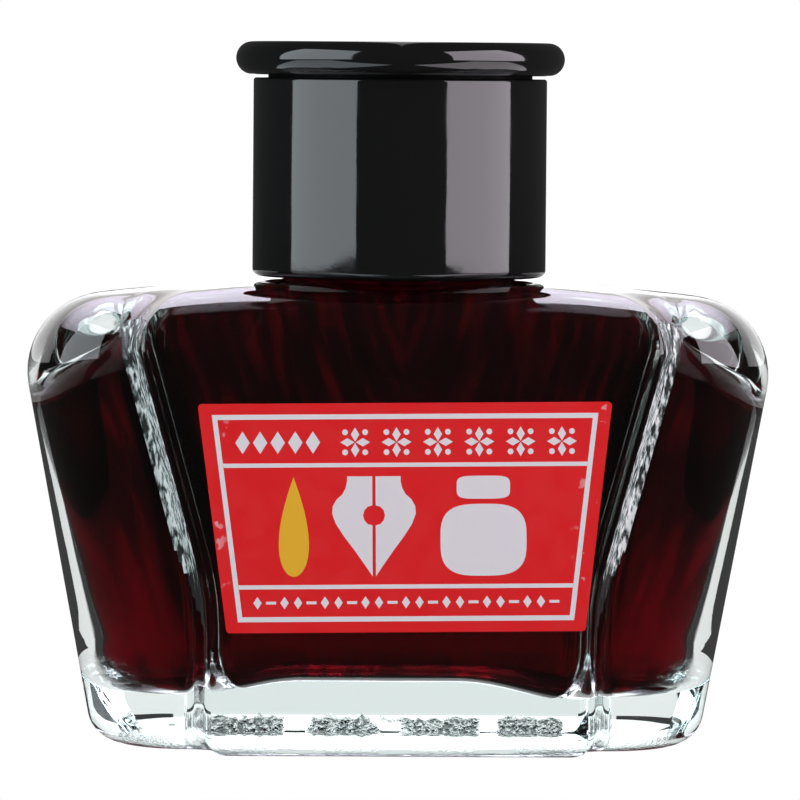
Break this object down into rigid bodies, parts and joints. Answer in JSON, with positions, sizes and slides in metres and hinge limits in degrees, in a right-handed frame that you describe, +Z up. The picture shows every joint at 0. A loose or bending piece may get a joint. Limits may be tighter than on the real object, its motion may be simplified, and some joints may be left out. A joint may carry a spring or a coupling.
{
  "type": "ink bottle",
  "caption": "Square-shouldered glass ink bottle with a thick middle block, rounded side wings, dark red ink, a printed front label and a tall black screw cap.",
  "frame": {"origin": "middle of the bottle's footprint, on the surface it stands on", "axes": "+X to the right along the bottle's long side, -Y out of the labelled front, +Z up along the cap's axis"},
  "size_m": [0.0758, 0.0377, 0.0716],
  "materials": {
    "clear_glass": "polished",
    "red_ink": "gloss",
    "label_paper": "satin",
    "black_gloss_plastic": "gloss",
    "black_insert_plastic": "satin",
    "white_foam": "matte"
  },
  "bodies": {
    "bottle": {"glass_bottle": "clear_glass", "ink": "red_ink", "front_label": "label_paper"},
    "liner": {"cap_liner": "white_foam"},
    "cap": {"cap_skirt": "black_gloss_plastic", "cap_top_disc": "black_gloss_plastic", "cap_thread_insert": "black_insert_plastic"}
  },
  "joints": [
    {"name": "cap_lift", "type": "slide", "parent": "bottle", "child": "liner", "axis": [0, 0, 1], "range_m": [0, 0.00451]},
    {"name": "cap_turn", "type": "hinge", "parent": "liner", "child": "cap", "pos_m": [0, 0, 0.0575], "axis": [0, 0, 1], "range_deg": [0, 540]}
  ],
  "couplings": [
    {"joint": "cap_lift", "follows": "cap_turn", "m_per_rad": 0.00047746}
  ]
}
